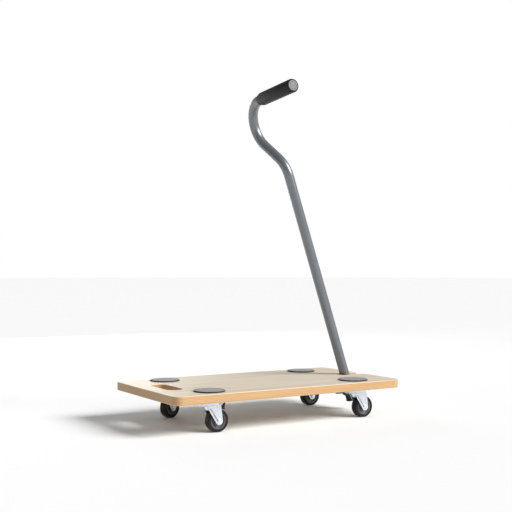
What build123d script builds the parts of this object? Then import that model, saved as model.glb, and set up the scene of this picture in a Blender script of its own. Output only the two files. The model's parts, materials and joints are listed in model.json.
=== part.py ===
"""Folding platform cart: a plywood deck on four swivel casters with a folding gooseneck pull handle.

Millimetres, +Z up. The origin is on the floor, under the middle of the deck. +X points along the
deck to the handle end, which is the front, and +Y to the cart's left side.
"""
import os
from math import copysign, cos, radians, sin

from build123d import *

# ---------------------------------------------------------------- deck
DECK_LENGTH = 600.0
DECK_WIDTH = 320.0
DECK_THICK = 19.0
DECK_CORNER_R = 20.0
DECK_EDGE_R = 1.5
CASTER_HEIGHT = 70.0
DECK_TOP = CASTER_HEIGHT + DECK_THICK

HAND_SLOT_LENGTH = 110.0
HAND_SLOT_WIDTH = 38.0
HAND_SLOT_X = -243.0
HANDLE_SLOT_WIDTH = 32.0
HANDLE_SLOT_END_X = 247.0

PAD_X = 193.5
PAD_Y = 110.0
PAD_R = 34.5
PAD_THICK = 3.0
PAD_EDGE = 0.8

# ---------------------------------------------------------------- casters
CASTER_X = 198.0
CASTER_Y = 110.0
CORNERS = {
    "front_right": (CASTER_X, -CASTER_Y),
    "front_left": (CASTER_X, CASTER_Y),
    "rear_right": (-CASTER_X, -CASTER_Y),
    "rear_left": (-CASTER_X, CASTER_Y),
}
BRAKED = ("rear_right", "rear_left")
SWIVEL_DEG = {"front_right": 0.0, "front_left": 0.0, "rear_right": 0.0, "rear_left": 20.0}

TRAIL = 22.0
WHEEL_R = 25.0
TYRE_WIDTH = 19.0
TYRE_SHOULDER = 3.0
TYRE_INNER_R = 18.5
HUB_WIDTH = 17.0
HUB_BOSS_R = 6.5
HUB_BOSS_WIDTH = 21.6
HUB_RECESS_R = 15.5
HUB_DRAFT = 1.5
HUB_WEB = 8.0

PLATE_SIZE = 62.0
PLATE_CORNER_R = 7.0
PLATE_THICK = 2.5
PLATE_HOLES = 48.0
SKIRT_R = 27.5
SKIRT_WALL = 2.0
SKIRT_DEPTH = 6.0

KINGPIN_R = 5.2
KINGPIN_HEAD_R = 6.5
KINGPIN_HEAD_THICK = 3.7
KINGPIN_CHAMFER = 1.8
PIN_FIT = 0.05
GAP = 0.3
BOLT_CHAMFER = 0.5

BALL_R = 2.5
BALL_RING_R = 19.0
BALL_COUNT = 20
RACE_WIDTH = 6.0

CROWN_R = 22.5
CROWN_THICK = 2.0
CROWN_Z = 58.5
BOWL_TOP_R = 12.0
BOWL_BOTTOM_R = 8.5
BOWL_DEPTH = 7.0
LEG_INNER_Y = 11.3
LEG_THICK = 2.0
LEG_TIP_R = 8.6
LEG_FRONT_X = -8.0
LEG_REAR_X = 26.0
LEG_SHOULDER_Z = 57.5
LEG_SPLAY_DEG = 150.0
LEG_REAR_RISE = 2.0
CROWN_TAIL_X = 8.0
AXLE_R = 3.0
AXLE_FIT = 0.08
AXLE_HEAD_R = 5.0
AXLE_HEAD_THICK = 1.6
AXLE_HEAD_CHAMFER = 0.7
AXLE_PROUD = 1.0
AXLE_NUT_FLATS = 9.0
AXLE_NUT_THICK = 3.0

# ---------------------------------------------------------------- brakes
BRAKE_PIVOT_X = 17.0
BRAKE_PIVOT_Z = 54.5
BRAKE_PIN_R = 1.5
BRAKE_PIN_FIT = 0.06
BRAKE_BARREL_R = 3.0
BRAKE_BARREL_WIDTH = 22.0
BRAKE_WIDTH = 14.0
BRAKE_TRAVEL_DEG = 6.0
BRAKE_BITE_GAP = 0.4
BRAKE_ARM_THICK = 3.0
BRAKE_ARM_DEG = (60.0, 78.0, 96.0)
BRAKE_HUMP = (31.0, 58.2)
BRAKE_NOTCH = (36.5, 56.0)
BRAKE_TAB_WIDTH = 6.0
BRAKE_TAB_THICK = 2.8
BRAKE_TAB_FOOT = (36.9, 49.5)
BRAKE_TAB_TIP = (40.0, 63.5)
BRAKE_TAB_CORNER_R = 2.0

# ---------------------------------------------------------------- handle
PIVOT_X = 264.0
PIVOT_Z = 50.0
LEAN_DEG = 18.85
TUBE_R = 12.0
TUBE_WALL = 1.5
TUBE_TAIL = 24.0
NECK_RISE = 584.0
NECK_CORNER = (182.0, 739.4)
NECK_END = (-117.0, 761.8)
NECK_BEND_R = 62.0
GRIP_R = 16.0
GRIP_LENGTH = 148.0
GRIP_TAPER = 11.0
GRIP_END_CHAMFER = 2.5
GRIP_LIP = 1.2
END_PLUG_R = 12.4
END_PLUG_THICK = 2.0
END_PLUG_STEM = 12.0
END_PLUG_CHAMFER = 0.5
CAP_R = 13.2
CAP_RIM_R = 14.2
CAP_FLOOR = 3.6
CAP_LENGTH = 16.6
CAP_PLUG = 6.0

HINGE_BOLT_R = 4.0
HINGE_SLEEVE_R = 6.0
HINGE_FIT = 0.06
HINGE_HOLE_FIT = 0.1
WASHER_R = 8.0
WASHER_THICK = 1.6
SPACER_R = 10.0
HINGE_HEAD_FLATS = 13.0
HINGE_HEAD_THICK = 5.3
HINGE_NUT_THICK = 6.5
HINGE_BOLT_PROUD = 2.0
SLEEVE_PROUD = 0.2
SPACER_Y = TUBE_R + 0.4

# ---------------------------------------------------------------- handle bracket
BRACKET_SHEET = 2.5
BRACKET_X0 = 205.0
BRACKET_X1 = 293.0
BRACKET_HALF_WIDTH = 42.0
BRACKET_CORNER_R = 8.0
CHEEK_INNER_Y = 16.0
CHEEK_X0 = 226.0
CHEEK_X1 = 290.0
CHEEK_BOTTOM_Z = 38.0
CHEEK_CHAMFER = (12.0, 8.0)
BRACKET_SLOT_X0 = 228.0
BRACKET_HOLES = [(213.0, -34.0), (213.0, 34.0), (283.0, -34.0), (283.0, 34.0)]

STOP_Z = 64.2
STOP_SLEEVE_R = 3.0
STOP_BOLT_R = 1.5
STOP_FIT = 0.05
STOP_HEAD_FLATS = 5.5
STOP_HEAD_THICK = 2.0
STOP_NUT_THICK = 2.4
STOP_BOLT_PROUD = 1.5

# ---------------------------------------------------------------- wood screws
SCREW_R = 1.95
SCREW_HOLE_R = 2.0
SCREW_CLEARANCE_R = 2.3
SCREW_DEPTH = 14.0
SCREW_HEAD_R = 3.8
SCREW_HEAD_THICK = 2.4
SCREW_HEAD_CHAMFER = 0.9

# ---------------------------------------------------------------- derived places
PLATE_Z = CASTER_HEIGHT - PLATE_THICK
BRACKET_Z = CASTER_HEIGHT - BRACKET_SHEET
CHEEK_OUTER_Y = CHEEK_INNER_Y + BRACKET_SHEET
LEG_OUTER_Y = LEG_INNER_Y + LEG_THICK
BALL_Z = PLATE_Z - GAP - BALL_R
RACE_TOP_Z = BALL_Z - BALL_R - PIN_FIT
BOWL_Z = CROWN_Z - BOWL_DEPTH
KINGPIN_HEAD_TOP_Z = BOWL_Z - GAP

LEAN = radians(LEAN_DEG)
TUBE_DIR = Vector(-sin(LEAN), 0, cos(LEAN))
TUBE_SIDE = Vector(-cos(LEAN), 0, -sin(LEAN))
PIVOT = Vector(PIVOT_X, 0, PIVOT_Z)
HANDLE_PLANE = Plane(origin=PIVOT, x_dir=(0, 1, 0), z_dir=(cos(LEAN), 0, sin(LEAN)))
STOP_REACH = TUBE_R + GAP + STOP_SLEEVE_R
STOP_ALONG = (STOP_Z - PIVOT_Z - STOP_REACH * TUBE_SIDE.Z) / TUBE_DIR.Z
STOP_CENTRE = PIVOT + TUBE_DIR * STOP_ALONG + TUBE_SIDE * STOP_REACH

os.makedirs("parts", exist_ok=True)


def save(part, name):
    """Label a finished piece and write it to its own file."""
    part.label = name
    export_step(part, f"parts/{name}.step")


def save_turned(part, name, corner):
    """Save a piece of a caster's fork or wheel, turned about its kingpin to where the caster stands."""
    x, y = CORNERS[corner]
    save(part.rotate(Axis((x, y, 0), (0, 0, 1)), SWIVEL_DEG[corner]), name)


def across(x, y, z):
    """A plane at y whose normal runs to +Y, with its own x along +X and its own y along -Z."""
    return Plane(origin=(x, y, z), x_dir=(1, 0, 0), z_dir=(0, 1, 0))


def side_view(y):
    """The X-Z plane at y, seen from the right-hand side: sketch x is +X, sketch y is +Z."""
    return Plane(origin=(0, y, 0), x_dir=(1, 0, 0), z_dir=(0, -1, 0))


def on_circle(x, z, radius, angle):
    """The point at an angle in degrees, from +X towards +Z, on a circle about x, z."""
    return (x + radius * cos(radians(angle)), z + radius * sin(radians(angle)))


def plate_holes(x, y):
    """Centres of the four screws that hold the caster plate at x, y."""
    half = PLATE_HOLES / 2
    return [(x + i * half, y + j * half) for i in (-1, 1) for j in (-1, 1)]


def screw_group(centres, head_top_z):
    """Pan-head wood screws, driven upwards, with their heads below head_top_z."""
    with BuildPart() as screws:
        for x, y in centres:
            with BuildSketch(Plane.XY.offset(head_top_z - SCREW_HEAD_THICK)):
                with Locations((x, y)):
                    Circle(SCREW_HEAD_R)
            extrude(amount=SCREW_HEAD_THICK)
            with BuildSketch(Plane.XY.offset(head_top_z)):
                with Locations((x, y)):
                    Circle(SCREW_R)
            extrude(amount=SCREW_DEPTH)
        chamfer(screws.faces().sort_by(Axis.Z)[: len(centres)].edges(), SCREW_HEAD_CHAMFER)
    return screws.part


def pin_across(x, z, radius, y0, y1, bore=0.0):
    """A round pin or sleeve along Y, from y0 to y1."""
    with BuildPart() as pin:
        with BuildSketch(across(x, y0, z)):
            Circle(radius)
            if bore > 0:
                Circle(bore, mode=Mode.SUBTRACT)
        extrude(amount=y1 - y0)
    return pin.part


def hex_bolt(x, z, radius, flats, head_y, head_thick, end_y):
    """A bolt along +Y whose head ends at head_y."""
    with BuildPart() as bolt:
        with BuildSketch(across(x, head_y - head_thick, z)):
            RegularPolygon(flats / 2, 6, major_radius=False)
        extrude(amount=head_thick)
        chamfer(bolt.faces().sort_by(Axis.Y)[0].edges(), BOLT_CHAMFER)
        with BuildSketch(across(x, head_y, z)):
            Circle(radius)
        extrude(amount=end_y - head_y)
        chamfer(bolt.faces().sort_by(Axis.Y)[-1].edges(), BOLT_CHAMFER)
    return bolt.part


def hex_nut(x, z, bore, flats, y0, thick):
    """A hexagonal nut along Y, from y0 outwards."""
    with BuildPart() as nut:
        with BuildSketch(across(x, y0, z)):
            RegularPolygon(flats / 2, 6, major_radius=False)
            Circle(bore, mode=Mode.SUBTRACT)
        extrude(amount=thick)
    return nut.part


# ================================================================ deck
with BuildPart() as deck_board:
    with BuildSketch(Plane.XY.offset(CASTER_HEIGHT)):
        RectangleRounded(DECK_LENGTH, DECK_WIDTH, DECK_CORNER_R)
        with Locations((HAND_SLOT_X, 0)):
            SlotOverall(HAND_SLOT_LENGTH, HAND_SLOT_WIDTH, rotation=90, mode=Mode.SUBTRACT)
        with Locations((HANDLE_SLOT_END_X, 0)):
            Circle(HANDLE_SLOT_WIDTH / 2, mode=Mode.SUBTRACT)
            Rectangle(
                DECK_LENGTH / 2, HANDLE_SLOT_WIDTH, align=(Align.MIN, Align.CENTER), mode=Mode.SUBTRACT
            )
    extrude(amount=DECK_THICK)
    rims = deck_board.edges().group_by(Axis.Z)
    fillet(rims[0] + rims[-1], DECK_EDGE_R)
    holes = list(BRACKET_HOLES)
    for corner_x, corner_y in CORNERS.values():
        holes += plate_holes(corner_x, corner_y)
    with BuildSketch(Plane.XY.offset(CASTER_HEIGHT)):
        with Locations(*holes):
            Circle(SCREW_HOLE_R)
    extrude(amount=SCREW_DEPTH, mode=Mode.SUBTRACT)
save(deck_board.part, "deck_board")

for corner, (corner_x, corner_y) in CORNERS.items():
    with BuildPart() as pad:
        with BuildSketch(Plane.XY.offset(DECK_TOP)):
            with Locations((copysign(PAD_X, corner_x), copysign(PAD_Y, corner_y))):
                Circle(PAD_R)
        extrude(amount=PAD_THICK)
        chamfer(pad.edges().group_by(Axis.Z)[-1], PAD_EDGE)
    save(pad.part, f"pad_{corner}")

caster_holes = []
for corner_x, corner_y in CORNERS.values():
    caster_holes += plate_holes(corner_x, corner_y)
save(screw_group(caster_holes, PLATE_Z), "caster_screws")

# ================================================================ handle bracket and its fasteners
with BuildPart() as handle_bracket:
    with BuildSketch(Plane.XY.offset(BRACKET_Z)):
        with Locations(((BRACKET_X0 + BRACKET_X1) / 2, 0)):
            RectangleRounded(BRACKET_X1 - BRACKET_X0, 2 * BRACKET_HALF_WIDTH, BRACKET_CORNER_R)
        with Locations((BRACKET_SLOT_X0, 0)):
            Rectangle(
                BRACKET_X1, 2 * CHEEK_INNER_Y, align=(Align.MIN, Align.CENTER), mode=Mode.SUBTRACT
            )
        with Locations(*BRACKET_HOLES):
            Circle(SCREW_CLEARANCE_R, mode=Mode.SUBTRACT)
    extrude(amount=BRACKET_SHEET)
    for cheek_y in (-CHEEK_INNER_Y, CHEEK_OUTER_Y):
        with BuildSketch(side_view(cheek_y)):
            with BuildLine():
                Polyline(
                    (CHEEK_X0, BRACKET_Z),
                    (CHEEK_X0, CHEEK_BOTTOM_Z + CHEEK_CHAMFER[1]),
                    (CHEEK_X0 + CHEEK_CHAMFER[0], CHEEK_BOTTOM_Z),
                    (CHEEK_X1 - CHEEK_CHAMFER[0], CHEEK_BOTTOM_Z),
                    (CHEEK_X1, CHEEK_BOTTOM_Z + CHEEK_CHAMFER[1]),
                    (CHEEK_X1, BRACKET_Z),
                    close=True,
                )
            make_face()
            with Locations((PIVOT_X, PIVOT_Z)):
                Circle(HINGE_BOLT_R + HINGE_HOLE_FIT, mode=Mode.SUBTRACT)
            with Locations((STOP_CENTRE.X, STOP_CENTRE.Z)):
                Circle(STOP_BOLT_R + HINGE_HOLE_FIT, mode=Mode.SUBTRACT)
        extrude(amount=BRACKET_SHEET)
save(handle_bracket.part, "handle_bracket")

save(screw_group(BRACKET_HOLES, BRACKET_Z), "bracket_screws")

hinge_face_y = CHEEK_OUTER_Y + WASHER_THICK
hinge_bolt_end_y = hinge_face_y + HINGE_NUT_THICK + HINGE_BOLT_PROUD
hinge_bolt = hex_bolt(
    PIVOT_X, PIVOT_Z, HINGE_BOLT_R, HINGE_HEAD_FLATS, -hinge_face_y, HINGE_HEAD_THICK, hinge_bolt_end_y
)
save(hinge_bolt, "hinge_bolt")
hinge_nut = hex_nut(PIVOT_X, PIVOT_Z, HINGE_BOLT_R, HINGE_HEAD_FLATS, hinge_face_y, HINGE_NUT_THICK)
save(hinge_nut, "hinge_nut")
with BuildPart() as hinge_washers:
    for washer_y in (-hinge_face_y, CHEEK_OUTER_Y):
        with BuildSketch(across(PIVOT_X, washer_y, PIVOT_Z)):
            Circle(WASHER_R)
            Circle(HINGE_BOLT_R + HINGE_HOLE_FIT, mode=Mode.SUBTRACT)
        extrude(amount=WASHER_THICK)
save(hinge_washers.part, "hinge_washers")

stop_bolt = hex_bolt(
    STOP_CENTRE.X, STOP_CENTRE.Z, STOP_BOLT_R, STOP_HEAD_FLATS,
    -CHEEK_OUTER_Y, STOP_HEAD_THICK, CHEEK_OUTER_Y + STOP_NUT_THICK + STOP_BOLT_PROUD,
)
save(stop_bolt, "stop_bolt")
stop_nut = hex_nut(
    STOP_CENTRE.X, STOP_CENTRE.Z, STOP_BOLT_R, STOP_HEAD_FLATS, CHEEK_OUTER_Y, STOP_NUT_THICK
)
save(stop_nut, "stop_nut")
stop_sleeve = pin_across(
    STOP_CENTRE.X, STOP_CENTRE.Z, STOP_SLEEVE_R,
    GAP - CHEEK_INNER_Y, CHEEK_INNER_Y - GAP, bore=STOP_BOLT_R + STOP_FIT,
)
save(stop_sleeve, "stop_sleeve")

# ================================================================ handle
with BuildPart() as handle_tube:
    with BuildLine(HANDLE_PLANE) as neck_path:
        FilletPolyline(
            (0, -TUBE_TAIL), (0, NECK_RISE), NECK_CORNER, NECK_END, radius=NECK_BEND_R
        )
    with BuildSketch(Plane(origin=neck_path.line @ 0, z_dir=neck_path.line % 0)):
        Circle(TUBE_R)
        Circle(TUBE_R - TUBE_WALL, mode=Mode.SUBTRACT)
    sweep()
    with BuildSketch(across(PIVOT_X, -SPACER_Y, PIVOT_Z)):
        Circle(HINGE_SLEEVE_R)
    extrude(amount=2 * SPACER_Y, mode=Mode.SUBTRACT)
save(handle_tube.part, "handle_tube")

grip_end = neck_path.line @ 1
grip_dir = neck_path.line % 1

# The grip and its end plug are turned about the last straight stretch of the tube.
GRIP_AXIS_PLANE = Plane(origin=grip_end, x_dir=HANDLE_PLANE.z_dir, z_dir=grip_dir)
with BuildPart() as hand_grip:
    with BuildSketch(Plane(origin=grip_end, x_dir=HANDLE_PLANE.z_dir, z_dir=GRIP_AXIS_PLANE.y_dir)):
        with BuildLine():
            Polyline(
                (TUBE_R, GRIP_LENGTH - END_PLUG_THICK),
                (TUBE_R + GRIP_LIP, GRIP_LENGTH - END_PLUG_THICK),
                (GRIP_R, GRIP_LENGTH - END_PLUG_THICK - GRIP_TAPER),
                (GRIP_R, GRIP_END_CHAMFER - END_PLUG_THICK),
                (GRIP_R - GRIP_END_CHAMFER, -END_PLUG_THICK),
                (END_PLUG_R, -END_PLUG_THICK),
                (END_PLUG_R, 0),
                (TUBE_R, 0),
                close=True,
            )
        make_face()
    revolve(axis=Axis(grip_end, grip_dir), revolution_arc=360)
save(hand_grip.part, "hand_grip")

with BuildPart() as grip_end_plug:
    with BuildSketch(GRIP_AXIS_PLANE):
        Circle(END_PLUG_R)
    extrude(amount=END_PLUG_THICK)
    chamfer(grip_end_plug.faces().sort_by(Axis(grip_end, grip_dir))[-1].edges(), END_PLUG_CHAMFER)
    with BuildSketch(GRIP_AXIS_PLANE):
        Circle(TUBE_R - TUBE_WALL)
    extrude(amount=-END_PLUG_STEM)
save(grip_end_plug.part, "grip_end_plug")

with BuildPart() as tube_foot_cap:
    tail_end = PIVOT - TUBE_DIR * TUBE_TAIL
    with BuildSketch(Plane(origin=tail_end, z_dir=-TUBE_DIR)):
        Circle(CAP_RIM_R)
    extrude(amount=CAP_FLOOR)
    with BuildSketch(Plane(origin=tail_end, z_dir=TUBE_DIR)):
        Circle(CAP_R)
        Circle(TUBE_R, mode=Mode.SUBTRACT)
    extrude(amount=CAP_LENGTH - CAP_FLOOR)
    with BuildSketch(Plane(origin=tail_end, z_dir=TUBE_DIR)):
        Circle(TUBE_R - TUBE_WALL)
    extrude(amount=CAP_PLUG)
save(tube_foot_cap.part, "tube_foot_cap")

pivot_sleeve = pin_across(
    PIVOT_X, PIVOT_Z, HINGE_SLEEVE_R,
    -TUBE_R - SLEEVE_PROUD, TUBE_R + SLEEVE_PROUD, bore=HINGE_BOLT_R + HINGE_FIT,
)
save(pivot_sleeve, "pivot_sleeve")
with BuildPart() as pivot_washers:
    for washer_y in (-CHEEK_INNER_Y + GAP, SPACER_Y):
        with BuildSketch(across(PIVOT_X, washer_y, PIVOT_Z)):
            Circle(SPACER_R)
            Circle(HINGE_BOLT_R + HINGE_FIT, mode=Mode.SUBTRACT)
        extrude(amount=CHEEK_INNER_Y - GAP - SPACER_Y)
save(pivot_washers.part, "pivot_washers")

# ================================================================ casters
for corner, (corner_x, corner_y) in CORNERS.items():
    axle_x = corner_x + TRAIL

    # Mounting plate with the turned-down rim of the swivel bearing.
    with BuildPart() as caster_plate:
        with BuildSketch(Plane.XY.offset(PLATE_Z)):
            with Locations((corner_x, corner_y)):
                RectangleRounded(PLATE_SIZE, PLATE_SIZE, PLATE_CORNER_R)
                Circle(KINGPIN_R, mode=Mode.SUBTRACT)
            with Locations(*plate_holes(corner_x, corner_y)):
                Circle(SCREW_CLEARANCE_R, mode=Mode.SUBTRACT)
        extrude(amount=PLATE_THICK)
        with BuildSketch(Plane.XY.offset(PLATE_Z)):
            with Locations((corner_x, corner_y)):
                Circle(SKIRT_R)
                Circle(SKIRT_R - SKIRT_WALL, mode=Mode.SUBTRACT)
        extrude(amount=-SKIRT_DEPTH)
    save(caster_plate.part, f"caster_plate_{corner}")

    # The kingpin is riveted in the plate, and the fork turns on it.
    with BuildPart() as kingpin:
        with BuildSketch(Plane.XY.offset(KINGPIN_HEAD_TOP_Z - KINGPIN_HEAD_THICK)):
            with Locations((corner_x, corner_y)):
                Circle(KINGPIN_HEAD_R)
        extrude(amount=KINGPIN_HEAD_THICK)
        chamfer(kingpin.faces().sort_by(Axis.Z)[0].edges(), KINGPIN_CHAMFER)
        with BuildSketch(Plane.XY.offset(KINGPIN_HEAD_TOP_Z)):
            with Locations((corner_x, corner_y)):
                Circle(KINGPIN_R)
        extrude(amount=CASTER_HEIGHT - KINGPIN_HEAD_TOP_Z)
    save(kingpin.part, f"kingpin_{corner}")

    with BuildPart() as swivel_balls:
        with Locations((corner_x, corner_y, BALL_Z)):
            with PolarLocations(BALL_RING_R, BALL_COUNT):
                Sphere(BALL_R)
    save_turned(swivel_balls.part, f"swivel_balls_{corner}", corner)

    # Fork: a pressed crown with a ball race, and two legs that taper to round axle eyes.
    with BuildPart() as fork:
        with BuildSketch(Plane.XY.offset(CROWN_Z)):
            with Locations((corner_x, corner_y)):
                Circle(CROWN_R)
                Circle(KINGPIN_R + PIN_FIT, mode=Mode.SUBTRACT)
            with Locations((corner_x + CROWN_TAIL_X, corner_y)):
                Rectangle(
                    LEG_REAR_X - CROWN_TAIL_X, 2 * LEG_OUTER_Y, align=(Align.MIN, Align.CENTER)
                )
        extrude(amount=CROWN_THICK)
        with BuildSketch(side_view(corner_y)):
            with BuildLine():
                Polyline(
                    (corner_x + KINGPIN_R + PIN_FIT, CROWN_Z),
                    (corner_x + KINGPIN_R + PIN_FIT, BOWL_Z),
                    (corner_x + BOWL_BOTTOM_R, BOWL_Z),
                    (corner_x + BOWL_TOP_R, CROWN_Z),
                    close=True,
                )
            make_face()
        revolve(axis=Axis((corner_x, corner_y, 0), (0, 0, 1)), revolution_arc=360)
        with BuildSketch(Plane.XY.offset(CROWN_Z + CROWN_THICK)):
            with Locations((corner_x, corner_y)):
                Circle(BALL_RING_R + RACE_WIDTH / 2)
                Circle(BALL_RING_R - RACE_WIDTH / 2, mode=Mode.SUBTRACT)
        extrude(amount=RACE_TOP_Z - CROWN_Z - CROWN_THICK)
        for leg_y in (corner_y - LEG_INNER_Y, corner_y + LEG_OUTER_Y):
            with BuildSketch(side_view(leg_y)):
                with BuildLine():
                    Polyline(
                        (corner_x + LEG_FRONT_X, CROWN_Z + CROWN_THICK),
                        (corner_x + LEG_FRONT_X, LEG_SHOULDER_Z),
                        on_circle(axle_x, WHEEL_R, LEG_TIP_R, LEG_SPLAY_DEG),
                        (axle_x + LEG_TIP_R, WHEEL_R + LEG_REAR_RISE),
                        (corner_x + LEG_REAR_X, LEG_SHOULDER_Z),
                        (corner_x + LEG_REAR_X, CROWN_Z + CROWN_THICK),
                        close=True,
                    )
                make_face()
                with Locations((axle_x, WHEEL_R)):
                    Circle(LEG_TIP_R)
                    Circle(AXLE_R, mode=Mode.SUBTRACT)
                if corner in BRAKED:
                    with Locations((corner_x + BRAKE_PIVOT_X, BRAKE_PIVOT_Z)):
                        Circle(BRAKE_PIN_R, mode=Mode.SUBTRACT)
            extrude(amount=LEG_THICK)
    save_turned(fork.part, f"fork_{corner}", corner)

    # Axle rivet with a low round head on the right, held by a low nut on the left.
    with BuildPart() as axle:
        with BuildSketch(across(axle_x, corner_y - LEG_OUTER_Y - AXLE_HEAD_THICK, WHEEL_R)):
            Circle(AXLE_HEAD_R)
        extrude(amount=AXLE_HEAD_THICK)
        chamfer(axle.faces().sort_by(Axis.Y)[0].edges(), AXLE_HEAD_CHAMFER)
        with BuildSketch(across(axle_x, corner_y - LEG_OUTER_Y, WHEEL_R)):
            Circle(AXLE_R)
        extrude(amount=2 * LEG_OUTER_Y + AXLE_NUT_THICK + AXLE_PROUD)
    save_turned(axle.part, f"axle_{corner}", corner)
    axle_nut = hex_nut(axle_x, WHEEL_R, AXLE_R, AXLE_NUT_FLATS, corner_y + LEG_OUTER_Y, AXLE_NUT_THICK)
    save_turned(axle_nut, f"axle_nut_{corner}", corner)

    # Wheel: a dished plastic hub in a solid rubber tyre.
    with BuildPart() as wheel_hub:
        with BuildSketch(Plane(origin=(axle_x, corner_y, WHEEL_R), x_dir=(1, 0, 0), z_dir=(0, 0, 1))):
            with BuildLine():
                Polyline(
                    (AXLE_R + AXLE_FIT, -HUB_BOSS_WIDTH / 2),
                    (HUB_BOSS_R, -HUB_BOSS_WIDTH / 2),
                    (HUB_BOSS_R + HUB_DRAFT, -HUB_WEB / 2),
                    (HUB_RECESS_R - HUB_DRAFT, -HUB_WEB / 2),
                    (HUB_RECESS_R, -HUB_WIDTH / 2),
                    (TYRE_INNER_R, -HUB_WIDTH / 2),
                    (TYRE_INNER_R, HUB_WIDTH / 2),
                    (HUB_RECESS_R, HUB_WIDTH / 2),
                    (HUB_RECESS_R - HUB_DRAFT, HUB_WEB / 2),
                    (HUB_BOSS_R + HUB_DRAFT, HUB_WEB / 2),
                    (HUB_BOSS_R, HUB_BOSS_WIDTH / 2),
                    (AXLE_R + AXLE_FIT, HUB_BOSS_WIDTH / 2),
                    close=True,
                )
            make_face()
        revolve(axis=Axis((axle_x, corner_y, WHEEL_R), (0, 1, 0)), revolution_arc=360)
    save_turned(wheel_hub.part, f"wheel_hub_{corner}", corner)

    with BuildPart() as tyre:
        with BuildSketch(across(axle_x, corner_y - TYRE_WIDTH / 2, WHEEL_R)):
            Circle(WHEEL_R)
            Circle(TYRE_INNER_R, mode=Mode.SUBTRACT)
        extrude(amount=TYRE_WIDTH)
        outer = tyre.edges().filter_by(GeomType.CIRCLE).group_by(SortBy.RADIUS)[-1]
        fillet(outer, TYRE_SHOULDER)
    save_turned(tyre.part, f"tyre_{corner}", corner)

    if corner in BRAKED:
        pivot_x = corner_x + BRAKE_PIVOT_X
        brake_pin = pin_across(
            pivot_x, BRAKE_PIVOT_Z, BRAKE_PIN_R, corner_y - LEG_OUTER_Y, corner_y + LEG_OUTER_Y
        )
        save_turned(brake_pin, f"brake_pin_{corner}", corner)
        # The arm curves round the place where the wheel's centre lies once the brake is on.
        turn = radians(BRAKE_TRAVEL_DEG)
        wheel_x = axle_x - pivot_x
        wheel_z = WHEEL_R - BRAKE_PIVOT_Z
        arm_x = pivot_x + wheel_x * cos(turn) - wheel_z * sin(turn)
        arm_z = BRAKE_PIVOT_Z + wheel_x * sin(turn) + wheel_z * cos(turn)
        inner_r = WHEEL_R + BRAKE_BITE_GAP
        inner = [on_circle(arm_x, arm_z, inner_r, angle) for angle in BRAKE_ARM_DEG]
        heel = on_circle(arm_x, arm_z, inner_r + BRAKE_ARM_THICK, BRAKE_ARM_DEG[0])
        tab_foot_x = corner_x + BRAKE_TAB_FOOT[0]
        tab_tip_x = corner_x + BRAKE_TAB_TIP[0]
        with BuildPart() as brake_lever:
            with BuildSketch(side_view(corner_y + BRAKE_TAB_WIDTH / 2)):
                with BuildLine():
                    Polyline(
                        (tab_foot_x, BRAKE_TAB_FOOT[1]),
                        (tab_foot_x + BRAKE_TAB_THICK, BRAKE_TAB_FOOT[1]),
                        (tab_tip_x + BRAKE_TAB_THICK, BRAKE_TAB_TIP[1]),
                        (tab_tip_x, BRAKE_TAB_TIP[1]),
                        close=True,
                    )
                make_face()
            extrude(amount=BRAKE_TAB_WIDTH)
            fillet(brake_lever.edges().filter_by(Axis.X).group_by(Axis.Z)[-1], BRAKE_TAB_CORNER_R)
            with BuildSketch(side_view(corner_y + BRAKE_WIDTH / 2)):
                with BuildLine():
                    ThreePointArc(*inner)
                    Polyline(
                        inner[-1],
                        (pivot_x, BRAKE_PIVOT_Z),
                        (corner_x + BRAKE_HUMP[0], BRAKE_HUMP[1]),
                        (corner_x + BRAKE_NOTCH[0], BRAKE_NOTCH[1]),
                        heel,
                        inner[0],
                    )
                make_face()
            extrude(amount=BRAKE_WIDTH)
            with BuildSketch(across(pivot_x, corner_y - BRAKE_BARREL_WIDTH / 2, BRAKE_PIVOT_Z)):
                Circle(BRAKE_BARREL_R)
            extrude(amount=BRAKE_BARREL_WIDTH)
            with BuildSketch(across(pivot_x, corner_y - BRAKE_BARREL_WIDTH / 2, BRAKE_PIVOT_Z)):
                Circle(BRAKE_PIN_R + BRAKE_PIN_FIT)
            extrude(amount=BRAKE_BARREL_WIDTH, mode=Mode.SUBTRACT)
        save_turned(brake_lever.part, f"brake_lever_{corner}", corner)
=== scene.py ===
"""Looks for a folding platform cart: plywood deck, four swivel casters and a gooseneck pull handle.

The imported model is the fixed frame. Each operator below makes one piece, or one group of like
pieces, in metres and in the frame's own axes: +X to the handle end, +Y to the left side, +Z up.
"""
import json
from math import atan2, cos, pi, radians, sin, tan

import bmesh
import bpy
from bmesh.types import BMEdge, BMVert
from bpy.props import FloatProperty, FloatVectorProperty, IntProperty, PointerProperty
from mathutils import Euler, Matrix, Vector


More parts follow.
